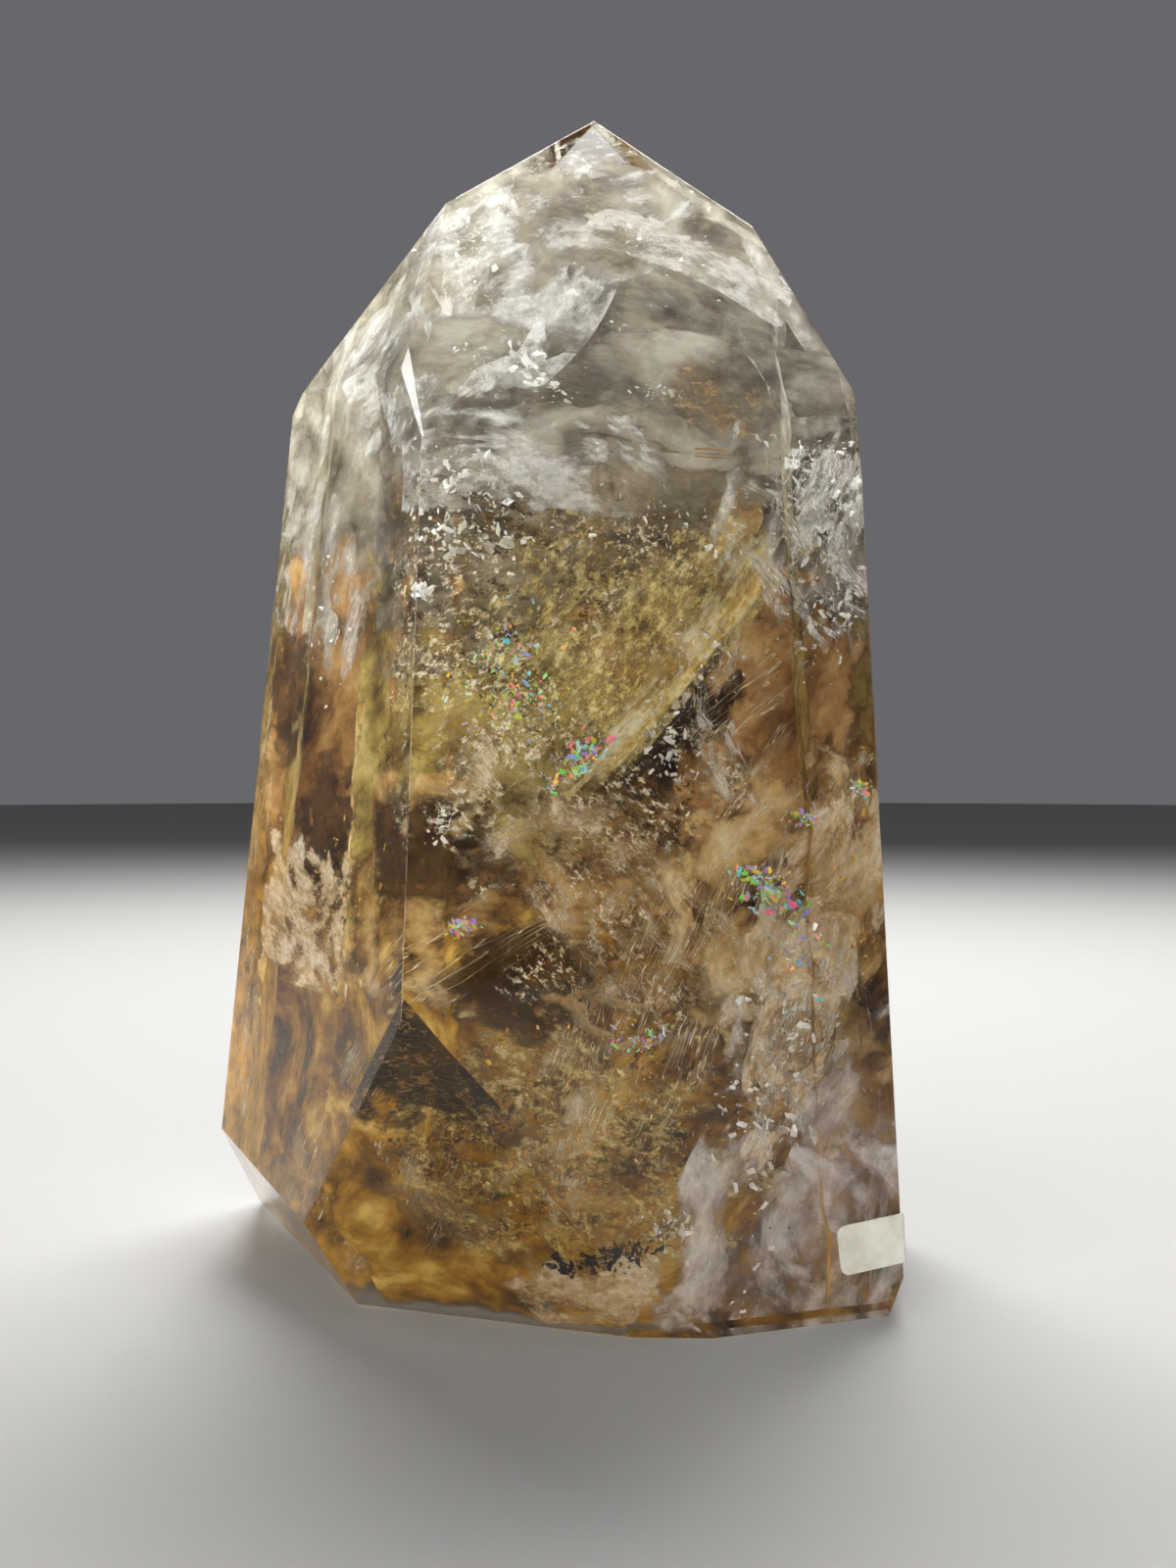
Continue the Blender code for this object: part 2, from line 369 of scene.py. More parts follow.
# a broad cloud of old healed cracks: honey low down, smoky above it and milky at the top. Its noises are per
# metre, so clouds of 25 mm and grains of 4 mm.
stoneBedLook = {"cloud": 40.0, "grain": 260.0, "push": 0.11, "low": 0.05, "high": 0.24,
                "dark": 0.3, "bright": 1.5, "rim": 0.8, "body": 0.94,
                "tones": ((0.0, "#a8843c"), (0.24, "#b88e40"), (0.36, "#a27a42"), (0.5, "#ad9252"),
                          (0.62, "#a2936f"), (0.72, "#bcb19e"), (0.85, "#e2ded6"), (1.0, "#f8f6f2"))}


def makeStoneBed(look):
    material, tree, output = startMaterial("stoneBed")
    place = addNode(tree, "ShaderNodeTexCoord")
    height = addNode(tree, "ShaderNodeSeparateXYZ", None, {"Vector": place.outputs["Object"]})
    cloud = addNode(tree, "ShaderNodeTexNoise", {
        "Scale": look["cloud"], "Detail": 4.0, "Roughness": 0.6, "Distortion": 0.6},
        {"Vector": place.outputs["Object"]})
    grain = addNode(tree, "ShaderNodeTexNoise", {"Scale": look["grain"], "Detail": 3.0, "Roughness": 0.72},
                    {"Vector": place.outputs["Object"]})
    pushed = addNode(tree, "ShaderNodeMath", {"operation": "MULTIPLY_ADD", 1: look["push"]},
                     {0: cloud.outputs["Fac"], 2: height.outputs["Z"]})
    band = addNode(tree, "ShaderNodeMapRange", {"From Min": look["low"], "From Max": look["high"]},
                   {"Value": pushed.outputs[0]})
    paint = addRamp(tree, band.outputs[0], look["tones"])
    mixed = addNode(tree, "ShaderNodeMath", {"operation": "ADD"},
                    {0: grain.outputs["Fac"], 1: cloud.outputs["Fac"]})
    light = addNode(tree, "ShaderNodeMapRange", {
        "From Min": 0.78, "From Max": 1.24, "To Min": look["dark"], "To Max": look["bright"]},
        {"Value": mixed.outputs[0]})
    colour = addNode(tree, "ShaderNodeVectorMath", {"operation": "SCALE"},
                     {0: paint.outputs["Color"], "Scale": light.outputs[0]})
    rim = addNode(tree, "ShaderNodeAttribute", {"attribute_name": "rim"})
    alpha = addNode(tree, "ShaderNodeMapRange", {
        "interpolation_type": "SMOOTHSTEP", "From Max": look["rim"], "To Max": look["body"]},
        {"Value": rim.outputs["Fac"]})
    body = addNode(tree, "ShaderNodeBsdfDiffuse", None, {"Color": colour.outputs[0]})
    finishFilm(tree, output, body, colour.outputs[0], 0.5, alpha.outputs[0])
    return material


veilMaterials["stoneBed"] = makeStoneBed(stoneBedLook)

# a veil's mesh in mm: gap is what it leaves to the polished surface. Each veil takes its own stretch of the
# noise, patternStep further on than the last.
veilShape = {"step": 2, "fewest": 8, "waves": 12, "gap": 0.6, "softRim": 0.6, "patternStep": 137,
             "patternSlant": 0.6}


# fade gives the soft width in mm at the left, right, low and high sides, 0 for a crisp side; with none the
# veil is a soft oval. arch lifts the middle of the sheet in its own plane, and soften fades it out over that
# many mm under the surface.
def layVeil(name, number, at, size, look, turn=(0, 0, 0), ripple=1.5, fade=None, soften=0, arch=0):
    across, up = size
    steps = [max(veilShape["fewest"], int(side / veilShape["step"])) for side in size]
    clearSelection()
    bpy.ops.mesh.primitive_grid_add(x_subdivisions=steps[0], y_subdivisions=steps[1], size=2)
    piece = bpy.context.active_object
    piece.name = name
    mesh = piece.data
    rim = mesh.attributes.new("rim", "FLOAT", "POINT")
    for vertex, value in zip(mesh.vertices, rim.data):
        x, y = vertex.co.xy
        if fade:
            inward = ((1 + x) * across / 2, (1 - x) * across / 2, (1 + y) * up / 2, (1 - y) * up / 2)
            value.value = min([1.0] + [d / soft for d, soft in zip(inward, fade) if soft > 0])
        else:
            value.value = min(1.0, (1 - math.hypot(x, y)) / veilShape["softRim"])
    sheet = mesh.uv_layers[0]
    sheet.name = "sheet"
    shift = veilShape["patternStep"] * number
    for loop, spot in zip(mesh.loops, sheet.data):
        x, y = mesh.vertices[loop.vertex_index].co.xy
        spot.uv = (x * across / 2 + shift, y * up / 2 + shift * veilShape["patternSlant"])
    for vertex in mesh.vertices:
        vertex.co.y += arch * 2 / up * (1 - vertex.co.x ** 2)
    piece.scale = (across / 2 * mm, up / 2 * mm, 1)
    bpy.ops.object.transform_apply(location=False, rotation=False, scale=True)
    clouds = bpy.data.textures.new(name, "CLOUDS")
    clouds.noise_scale = veilShape["waves"] * mm
    clouds.noise_depth = 2
    wave = piece.modifiers.new("ripple", "DISPLACE")
    wave.texture = clouds
    wave.texture_coords = "LOCAL"
    wave.strength = ripple * 2 * mm
    bpy.ops.object.modifier_apply(modifier="ripple")
    bpy.data.textures.remove(clouds)
    piece.matrix_world = Matrix.Translation(Vector(at) * mm) @ turnTo(*turn)
    bpy.ops.object.transform_apply(location=True, rotation=True, scale=True)
    trimInside(piece, veilShape["gap"] * mm)
    if soften:
        for vertex, value in zip(mesh.vertices, mesh.attributes["rim"].data):
            depth = min((centre - vertex.co).dot(normal) for centre, normal in facetPlanes)
            value.value = min(value.value, depth / (soften * mm))
    keepInside(piece, veilMaterials[look])


# at is the middle of the sheet in mm, size its width and height, turn its bearing, tilt and roll in degrees
veils = {
    # beds behind the front face
    "bed_slope": dict(at=(8, -9, 152), size=(90, 70), look="taupeBed", turn=(19, 30, 20),
                      fade=(8, 8, 22, 6), soften=3),
    "bed_high": dict(at=(12, -18, 128), size=(100, 60), look="taupeBed", turn=(19, 4, 5),
                     fade=(18, 4, 16, 18), soften=3),
    "bed_olive": dict(at=(8, -17, 100), size=(110, 56), look="oliveBed", turn=(19, 0, 18),
                      fade=(18, 6, 16, 14), soften=3),
    "bed_amber": dict(at=(36, -8, 92), size=(60, 70), look="amberBed", turn=(30, 0, 30),
                      fade=(16, 4, 18, 18), soften=3),
    "bed_tan": dict(at=(10, -16, 64), size=(110, 50), look="tanBed", turn=(19, 0, -14),
                    fade=(18, 4, 16, 16), soften=3),
    "bed_honey": dict(at=(8, -14, 30), size=(110, 70), look="honeyBed", turn=(19, -6, 10),
                      fade=(18, 4, 6, 18), soften=3),
    # beds behind the left face
    "bed_left_high": dict(at=(-28, -8, 128), size=(48, 60), look="milkBed", turn=(-56, 4, 12),
                          fade=(6, 12, 16, 14), soften=5),
    "bed_left_mid": dict(at=(-29, -10, 90), size=(50, 60), look="amberBed", turn=(-56, 0, -12),
                         fade=(6, 12, 18, 18), soften=5),
    "bed_left_low": dict(at=(-29, -10, 48), size=(52, 64), look="honeyBed", turn=(-56, 0, 8),
                         fade=(6, 12, 14, 16), soften=5),
    # clouds seen from the back and the sides
    "cloud_back": dict(at=(2, 24, 90), size=(120, 200), look="stoneBed", turn=(-174, 3, 0),
                       fade=(8, 8, 6, 8), soften=6),
    "cloud_back_right": dict(at=(32, 18, 80), size=(70, 190), look="stoneBed", turn=(128, 4, 6),
                             fade=(8, 8, 6, 8), soften=6),
    "cloud_right": dict(at=(40, 2, 80), size=(90, 190), look="stoneBed", turn=(83, 3, 0),
                        fade=(8, 8, 6, 8), soften=6),
    "cloud_back_left": dict(at=(-38, 12, 80), size=(70, 190), look="stoneBed", turn=(-96, 7, 0),
                            fade=(8, 8, 6, 8), soften=6),
    # milky top
    "milk_left_streaks": dict(at=(-18, -22, 150), size=(76, 36), look="milkyVeil", turn=(5, 30, 52)),
    "milk_glow": dict(at=(-17, -17, 153), size=(64, 50), look="glowBed", turn=(-15, 28, 50), soften=4),
    "milk_leaf": dict(at=(-5, -17, 152), size=(34, 16), look="glowBed", turn=(10, 30, 58),
                      fade=(8, 8, 0, 12), arch=-2),
    "milk_apex": dict(at=(4, 2, 178), size=(54, 40), look="milkyVeil", turn=(10, 28, 30)),
    "smoke_core": dict(at=(18, -9, 150), size=(50, 44), look="taupeBed", turn=(15, 25, -20)),
    "smoke_core_dark": dict(at=(24, -17, 139), size=(18, 16), look="speckledSmokeAndShade", turn=(19, 20, -20)),
    "crescent": dict(at=(21, -2, 165), size=(36, 12), look="creamCrescent", turn=(15, 32, -26),
                     fade=(6, 8, 0, 9), arch=3),
    "left_face_haze": dict(at=(-30, -16, 128), size=(66, 34), look="milkyVeil", turn=(-50, 0, 62)),
    "milk_band": dict(at=(-8, -33, 127), size=(50, 15), look="glowBed", turn=(19, 6, 2),
                      fade=(6, 42, 2, 9)),
    # upper body
    "speckled_dark": dict(at=(0, -27, 118), size=(64, 14), look="speckledSmokeAndShade", turn=(19, 0, -2),
                          fade=(12, 16, 5, 4)),
    "olive_veil": dict(at=(-2, -28, 103), size=(46, 32), look="goldVeil", turn=(19, 0, 49),
                       fade=(12, 10, 0, 16), soften=2),
    "gold_edge": dict(at=(15, -26.2, 98), size=(62, 8), look="goldSeam", turn=(19, 0, 49),
                      fade=(18, 12, 0.4, 7), arch=-1.5),
    "gold_mist": dict(at=(14, -25.4, 104), size=(50, 22), look="goldVeil", turn=(19, 0, 49),
                      fade=(12, 12, 0, 14)),
    "dust_olive": dict(at=(-2, -30, 100), size=(60, 52), look="paleDust", turn=(19, 0, 30), soften=2),
    "dust_dark_high": dict(at=(2, -29, 112), size=(80, 28), look="darkDust", turn=(19, 0, 0), soften=2),
    "dust_dark_mid": dict(at=(0, -28, 84), size=(70, 30), look="darkDust", turn=(19, 0, -20), soften=2),
    # painted shade: a dark window along the seam
    "smoke_under_seam": dict(at=(19, -21, 89), size=(34, 15), look="smokeAndShadePatch", turn=(19, 0, 49),
                             fade=(10, 12, 8, 3)),
    "amber_right": dict(at=(34, -15, 98), size=(40, 34), look="amberBed", turn=(24, 0, 40), soften=2),
    "right_haze": dict(at=(40, -16, 120), size=(36, 46), look="milkyVeil", turn=(22, 0, 70), soften=2),
    "right_cracks_high": dict(at=(42, -19, 125), size=(36, 20), look="silverCrack", turn=(20, 0, 60)),
    "right_cracks_low": dict(at=(37, -21, 114), size=(34, 20), look="silverCrack", turn=(20, 0, -42)),
    "streaky_silver": dict(at=(22, -23, 99), size=(20, 12), look="silverCrack", turn=(19, 0, 78)),
    "gold_streaks_mid": dict(at=(26, -22, 94), size=(38, 14), look="goldFibre", turn=(19, 0, 42)),
    "white_fibres": dict(at=(25, -23, 84), size=(18, 8), look="silverCrack", turn=(19, 0, -60)),
    "left_face_mid": dict(at=(-34, -15, 112), size=(38, 30), look="milkyVeil", turn=(-50, 0, 70)),
    # dark windows: painted shade where clear stone shows the dark beyond
    "window_mid": dict(at=(13, -22, 86), size=(16, 14), look="smokeAndShadePatch", turn=(15, 0, 50)),
    "window_left": dict(at=(-41, -6, 94), size=(20, 26), look="smokeAndShadePatch", turn=(-50, 0, 20)),
    "window_left_low": dict(at=(-30, -17, 73), size=(34, 26), look="smokeAndShadePatch", turn=(-50, 0, 10)),
    "window_front": dict(at=(-17, -33, 71), size=(22, 20), look="smokeAndShadePatch", turn=(19, 0, 0)),
    "window_centre": dict(at=(4, -24, 73), size=(26, 15), look="speckledSmokeAndShade", turn=(19, 0, -20)),
    "window_low": dict(at=(-6, -29, 52), size=(30, 20), look="smokeAndShadePatch", turn=(19, 0, -10)),
    "window_low_right": dict(at=(9, -26, 53), size=(16, 11), look="speckledSmokeAndShade", turn=(19, 0, 30)),
    # middle
    "tan_band": dict(at=(9, -28, 64), size=(72, 26), look="tanWisp", turn=(19, 0, -46)),
    "gold_fibres_left": dict(at=(-12, -36, 58), size=(40, 14), look="goldFibre", turn=(19, 0, 27)),
    "cream_left": dict(at=(-38, -17, 62), size=(34, 24), look="creamVeil", turn=(-56, 0, -8),
                       fade=(8, 10, 1, 9), soften=2, arch=-2),
    # painted shade: the dark seen through the toe facet
    "ink_tip": dict(at=(-19.4, -43.6, 43.3), size=(36, 30), look="paintedShadeFilm", turn=(-18.5, -25, 0),
                    ripple=0.3, fade=(0, 0, 14, 0)),
    "gold_right": dict(at=(40, -19, 62), size=(54, 24), look="goldFibre", turn=(20, 0, 62)),
    "gold_mist_right": dict(at=(36, -17, 64), size=(44, 50), look="tanBed", turn=(24, 0, 60), soften=2),
    "dust_middle": dict(at=(10, -26, 66), size=(80, 50), look="paleDust", turn=(19, 0, -40), soften=2),
    "fibres_mid_right": dict(at=(30, -23, 72), size=(50, 26), look="goldFibre", turn=(19, 0, 55)),
    "fibres_low_mid": dict(at=(14, -28, 46), size=(56, 30), look="goldFibre", turn=(19, 0, 65)),
    "cream_right": dict(at=(39, -20, 60), size=(48, 22), look="creamVeil", turn=(20, 0, 62), soften=2),
    "cream_low_right": dict(at=(35, -25, 42), size=(40, 16), look="creamVeil", turn=(20, 0, 72),
                            soften=2),
    "cracks_low_right": dict(at=(35, -25, 42), size=(38, 20), look="silverCrack", turn=(20, 0, 70)),
    # low
    "tall_streak": dict(at=(1, -31, 38), size=(44, 9), look="tanWisp", turn=(19, 0, 88)),
    "lilac_corner": dict(at=(39, -23, 16), size=(70, 46), look="lilacGhost", turn=(19, 0, 62)),
    "lilac_patch": dict(at=(40, -24.5, 19), size=(16, 10), look="lilacGhost", turn=(19, 0, -30),
                        fade=(3, 3, 1, 4)),
    "cream_fan": dict(at=(3, -31.5, 5.4), size=(25, 11), look="creamVeil", turn=(0, -10, 8),
                      fade=(7, 8, 0, 7), arch=1.5),
    "gold_low": dict(at=(2, -24, 26), size=(64, 40), look="goldVeil", turn=(10, 0, -20)),
    "gold_foot": dict(at=(-24, -24, 24), size=(44, 38), look="goldFibre", turn=(-18, -20, 60)),
    "dust_low": dict(at=(0, -29, 28), size=(84, 40), look="darkDust", turn=(19, 0, 12), soften=2),
    "feather": dict(at=(-17, -33, 18), size=(24, 9), look="speckledSmokeAndShade", turn=(-18, -20, -22)),
    # films behind the right, back right, back and back left faces
    "lilac_edge": dict(at=(49, -4, 14), size=(50, 34), look="lilacGhost", turn=(83, 0, 10)),
    "right_cracks": dict(at=(46, 0, 112), size=(36, 46), look="silverCrack", turn=(83, 2, 50)),
    "right_wisps": dict(at=(47, 2, 66), size=(60, 40), look="tanWisp", turn=(83, 2, 64)),
    "right_gold": dict(at=(46, 8, 88), size=(70, 26), look="goldFibre", turn=(83, 2, 40)),
    "right_milk": dict(at=(36, 4, 142), size=(60, 40), look="milkyVeil", turn=(81, 28, 30)),
    "right_window": dict(at=(47, 6, 44), size=(26, 18), look="speckledSmokeAndShade", turn=(83, 0, 20)),
    "back_right_cracks": dict(at=(38, 24, 96), size=(50, 26), look="silverCrack", turn=(128, 3, 70)),
    "back_right_gold": dict(at=(40, 26, 48), size=(60, 26), look="goldVeil", turn=(128, 3, 60)),
    "back_milk": dict(at=(2, 30, 138), size=(80, 50), look="milkyVeil", turn=(-174, 20, -40)),
    "back_cracks": dict(at=(18, 34, 110), size=(50, 30), look="silverCrack", turn=(-174, 3, 40)),
    "back_gold": dict(at=(-14, 34, 84), size=(70, 34), look="goldVeil", turn=(-174, 3, -50)),
    "back_fibres": dict(at=(10, 35, 60), size=(80, 30), look="goldFibre", turn=(-174, 3, 35)),
    "back_wisps": dict(at=(-6, 35, 34), size=(80, 40), look="tanWisp", turn=(-174, 3, -30)),
    "back_window": dict(at=(-20, 33, 58), size=(24, 20), look="speckledSmokeAndShade", turn=(-174, 3, 0)),
    "back_lilac": dict(at=(24, 35, 18), size=(50, 34), look="lilacGhost", turn=(-174, 3, 50)),
    "back_left_milk": dict(at=(-40, 14, 118), size=(50, 50), look="milkyVeil", turn=(-96, 12, 60)),
    "back_left_gold": dict(at=(-45, 14, 70), size=(50, 30), look="goldFibre", turn=(-96, 5, 70)),
    "back_left_wisps": dict(at=(-47, 14, 40), size=(50, 40), look="tanWisp", turn=(-96, 5, 20)),
}
for number, (name, veil) in enumerate(veils.items(), 1):
    layVeil(name, number, **veil)
print("laid", len(veils), "veils")


# flakes: small flat cracks that throw the light back

def makeFlakeMaterial(name, look):
    material, tree, output = startMaterial(name)
    tone = addNode(tree, "ShaderNodeAttribute", {"attribute_name": "tone"})
    stops = [(i / (len(look["tones"]) - 1), colour) for i, colour in enumerate(look["tones"])]
    paint = addRamp(tree, tone.outputs["Fac"], stops)
    body = addNode(tree, "ShaderNodeBsdfPrincipled", {
        "Roughness": look["roughness"], "Metallic": look["metal"]}, {"Base Color": paint.outputs["Color"]})
    finishFilm(tree, output, body, paint.outputs["Color"], look["through"])
    return material


flakeLooks = {
    # a crack with air in it, seen flat on: its silver flash is mostly a painted reflection in near-white
    # tones, with a little real shine
    "silverFlake": dict(tones=("#99948a", "#d0ccc2", "#faf8f4", "#ffffff"), roughness=0.2, metal=0.2,
                        through=0.4),
    # a crack thinner than a hair: a different colour painted on each flake, standing in for the interference
    # reflection that oil on water has
    "rainbowFlake": dict(tones=("#ff6fb5", "#ffd24f", "#86f06a", "#ffffff", "#66e6f2", "#b08cff", "#ffe98a"),
                         roughness=0.2, metal=0.0, through=0.5),
    # a crack stained by iron: warm glints
    "goldFlake": dict(tones=("#a06a1c", "#e4b850", "#fff0b0"), roughness=0.25, metal=0.4, through=0.4),
    # dull mineral scales: near-black specks
    "darkFlake": dict(tones=("#0c0704", "#21130a", "#4a3016"), roughness=0.9, metal=0.0, through=0.2),
}
flakeMaterials = {name: makeFlakeMaterial(name, look) for name, look in flakeLooks.items()}

# jag and lift are for a flake 2 units across, narrow is its least and most width against its length
flakeShape = {"corners": (5, 6, 8), "jag": 0.55, "lift": 0.12, "narrow": (0.2, 0.75), "gap": 1.2,
              "triesEach": 6}


def cutFlake(name, corners, seed):
    clearSelection()
    bpy.ops.mesh.primitive_circle_add(vertices=corners, radius=1, fill_type="NGON")
    flake = bpy.context.active_object
    flake.name = name
    bpy.ops.object.mode_set(mode="EDIT")
    bpy.ops.mesh.select_all(action="SELECT")
    bpy.ops.transform.vertex_random(offset=flakeShape["jag"], uniform=0.6, seed=seed)
    bpy.ops.mesh.poke(offset=flakeShape["lift"])
    bpy.ops.object.mode_set(mode="OBJECT")
    return flake


flakes = [cutFlake(f"flake{i}", corners, i) for i, corners in enumerate(flakeShape["corners"])]


# one heap of flakes, thickest in the middle and thinning out over the spread; most are near the smallest size
def scatterFlakes(name, at, spread, count, size, look, turn=(19, 0, 0), lean=35):
    pick = random.Random(name)
    centre, frameTurn = Vector(at) * mm, turnTo(*turn)
    heap = bmesh.new()
    toneLayer = heap.verts.layers.float.new("tone")
    tries = 0
    placed = 0
    while placed < count and tries < count * flakeShape["triesEach"]:
        tries += 1
        offset = Vector([pick.gauss(0, 0.5) * reach * mm for reach in spread])
        spot = centre + (frameTurn.to_3x3() @ offset)
        if any((spot - point).dot(normal) > -flakeShape["gap"] * mm for point, normal in facetPlanes):
            continue
        placed += 1
        width = (size[0] + (size[1] - size[0]) * pick.random() ** 3) * 0.5 * mm
        tilt = (Matrix.Rotation(math.radians(pick.gauss(0, lean)), 4, "X")
                @ Matrix.Rotation(math.radians(pick.gauss(0, lean)), 4, "Y")
                @ Matrix.Rotation(pick.uniform(0, 2 * math.pi), 4, "Z"))
        shape = Matrix.Diagonal((width, width * pick.uniform(*flakeShape["narrow"]), width, 1))
        flake = pick.choice(flakes).data.copy()
        flake.transform(Matrix.Translation(spot) @ frameTurn @ tilt @ shape)
        before = len(heap.verts)
        heap.from_mesh(flake)
        heap.verts.ensure_lookup_table()
        tone = pick.random()
        for vertex in heap.verts[before:]:
            vertex[toneLayer] = tone
        bpy.data.meshes.remove(flake)
    mesh = bpy.data.meshes.new(name)
    heap.to_mesh(mesh)
    heap.free()
    keepInside(putInScene(name, mesh), flakeMaterials[look])


# spread is the heap's reach in mm along, up and through its frame, size the smallest and largest flake
clusters = {
    "flakes_leaf": dict(at=(-3.6, -26.6, 142.6), spread=(3, 7, 0.8), count=110, size=(0.4, 3.4),
                        look="silverFlake", turn=(19, 30, 20)),
    "flakes_leaf_left": dict(at=(-11.6, -28.6, 142.6), spread=(4, 4, 0.8), count=50, size=(0.3, 1.5),
                             look="silverFlake", turn=(19, 30, 0)),
    "flakes_star": dict(at=(15.2, -21.4, 140), spread=(3.4, 1.8, 0.6), count=28, size=(0.4, 2.2),
                        look="silverFlake", turn=(19, 30, 0)),
    "flakes_slope_left": dict(at=(-15, -13, 166), spread=(8, 12, 2), count=171, size=(0.3, 1.7),
                              look="silverFlake", turn=(-20, 30, 40)),
    "flakes_slope": dict(at=(2, -14, 152), spread=(26, 24, 3), count=457, size=(0.2, 1.0),
                         look="silverFlake", turn=(19, 30, 0)),
    "flakes_crescent": dict(at=(20, -1, 166), spread=(14, 4, 1.5), count=200, size=(0.2, 1.5),
                            look="silverFlake", turn=(19, 30, -28)),
    "flakes_right_high": dict(at=(42, -18, 127), spread=(8, 16, 2), count=314, size=(0.3, 2.1),
                              look="silverFlake"),
    "flakes_right_edge": dict(at=(42, -19, 108), spread=(6, 12, 2), count=171, size=(0.3, 1.8),
                              look="silverFlake", turn=(19, 0, -30)),
    "flakes_ribbed": dict(at=(-14, -38, 124), spread=(9, 6, 1), count=200, size=(0.2, 1.7),
                          look="silverFlake"),
    "flakes_dark_zone": dict(at=(-14, -38, 116), spread=(9, 5, 1.5), count=171, size=(0.3, 2.2),
                             look="silverFlake"),
    "flakes_dark_zone_right": dict(at=(18, -27, 117), spread=(24, 6, 2), count=171, size=(0.2, 1.4),
                                   look="silverFlake"),
    "flakes_silver_streak": dict(at=(17, -27, 86), spread=(4, 9, 1), count=143, size=(0.3, 1.8),
                                 look="silverFlake", turn=(19, 0, 12)),
    "flakes_streaky": dict(at=(22, -24, 100), spread=(8, 6, 1.5), count=171, size=(0.2, 1.7),
                           look="silverFlake", turn=(19, 0, 40)),
    "flakes_low_right": dict(at=(33, -28, 38), spread=(8, 24, 1.2), count=371, size=(0.3, 2.1),
                             look="silverFlake", turn=(19, 0, -10)),
    "flakes_squiggle": dict(at=(17, -32.5, 16), spread=(5, 2.5, 1), count=102, size=(0.2, 1.6),
                            look="silverFlake", turn=(19, 0, -20)),
    "flakes_left_face": dict(at=(-34, -17, 108), spread=(7, 16, 2), count=143, size=(0.2, 1.5),
                             look="silverFlake", turn=(-56, 0, 10)),
    "flakes_left_corner": dict(at=(-16, -41, 75), spread=(3, 2, 1), count=45, size=(0.3, 1.7),
                               look="silverFlake", turn=(19, 0, 30)),
    "rainbow_right": dict(at=(31.8, -27, 64.4), spread=(6.5, 3.2, 0.7), count=230, size=(0.3, 2.0),
                          look="rainbowFlake", turn=(19, 0, -25)),
    "rainbow_right_low": dict(at=(36, -25.6, 56), spread=(6, 6, 0.7), count=60, size=(0.3, 1.5),
                              look="rainbowFlake"),
    "rainbow_olive": dict(at=(-6, -37.6, 96), spread=(8, 9, 0.8), count=330, size=(0.3, 1.3),
                          look="rainbowFlake", turn=(19, 0, 30)),
    "rainbow_low_edge": dict(at=(3.5, -34.6, 84), spread=(5, 2.5, 0.6), count=150, size=(0.4, 1.8),
                             look="rainbowFlake", turn=(19, 0, 40)),
    "rainbow_small_right": dict(at=(38, -24.4, 75.4), spread=(2.4, 1.2, 0.5), count=70, size=(0.4, 1.6),
                                look="rainbowFlake"),
    "rainbow_edge": dict(at=(47, -21, 79.8), spread=(2.4, 1.2, 0.4), count=60, size=(0.4, 1.6),
                         look="rainbowFlake"),
    "rainbow_green": dict(at=(-13.3, -42.6, 60.9), spread=(2.2, 1.2, 0.4), count=60, size=(0.4, 1.7),
                          look="rainbowFlake"),
    "rainbow_low": dict(at=(12.4, -34.8, 43.7), spread=(5, 2.6, 0.6), count=64, size=(0.4, 1.7),
                        look="rainbowFlake"),
    "gold_glints_right": dict(at=(42, -20, 58), spread=(9, 26, 2), count=396, size=(0.2, 1.3),
                              look="goldFlake", turn=(19, 0, -20)),
    "gold_glints_low": dict(at=(5, -30, 30), spread=(26, 18, 4), count=396, size=(0.2, 1.2),
                            look="goldFlake"),
    "gold_glints_left": dict(at=(-30, -25, 62), spread=(10, 14, 2), count=211, size=(0.2, 1.2),
                             look="goldFlake", turn=(-56, 0, 0)),
    "flakes_right_side": dict(at=(45, 4, 110), spread=(16, 24, 2), count=200, size=(0.2, 2.0),
                              look="silverFlake", turn=(83, 3, 0)),
    "flakes_back": dict(at=(6, 33, 116), spread=(24, 24, 3), count=260, size=(0.2, 2.0),
                        look="silverFlake", turn=(-174, 3, 0)),
    "flakes_back_slope": dict(at=(4, 20, 156), spread=(22, 16, 3), count=200, size=(0.2, 1.6),
                              look="silverFlake", turn=(-174, 38, 0)),
    "glints_back": dict(at=(0, 34, 48), spread=(30, 28, 3), count=300, size=(0.2, 1.6), look="goldFlake",
                        turn=(-174, 3, 0)),
    "glints_right_side": dict(at=(46, 4, 52), spread=(18, 28, 3), count=220, size=(0.2, 1.6),
                              look="goldFlake", turn=(83, 3, 0)),
    "rainbow_back": dict(at=(-6, 34, 92), spread=(8, 7, 1), count=240, size=(0.3, 1.4),
                         look="rainbowFlake", turn=(-174, 3, 0)),
    "silver_chip": dict(at=(-18.6, -42.4, 108.2), spread=(1.1, 1.1, 0.3), count=33, size=(0.6, 2.4),
                        look="silverFlake", turn=(0, 0, 0), lean=14),
    "foot_specks": dict(at=(-22, -26, 22), spread=(22, 22, 6), count=90, size=(0.2, 0.7),
                        look="darkFlake"),
    "dark_flakes_low": dict(at=(8, -34.5, 12.4), spread=(9, 2, 1), count=132, size=(0.6, 2.3),
                            look="darkFlake", turn=(-2, -20, 12)),
    "dark_specks_corner": dict(at=(36, -26, 12), spread=(16, 12, 2), count=57, size=(0.2, 0.7),
                               look="darkFlake"),
}
for name, cluster in clusters.items():
    scatterFlakes(name, **cluster)
for flake in flakes:
    bpy.data.objects.remove(flake)
print("scattered", len(clusters), "clusters of flakes")

# a golden needle grown right through the stone, in mm and degrees
needleShape = {"at": (24.5, -22, 130), "radius": 0.16, "tip": 0.03, "length": 9, "bearing": 19, "lay": 91}


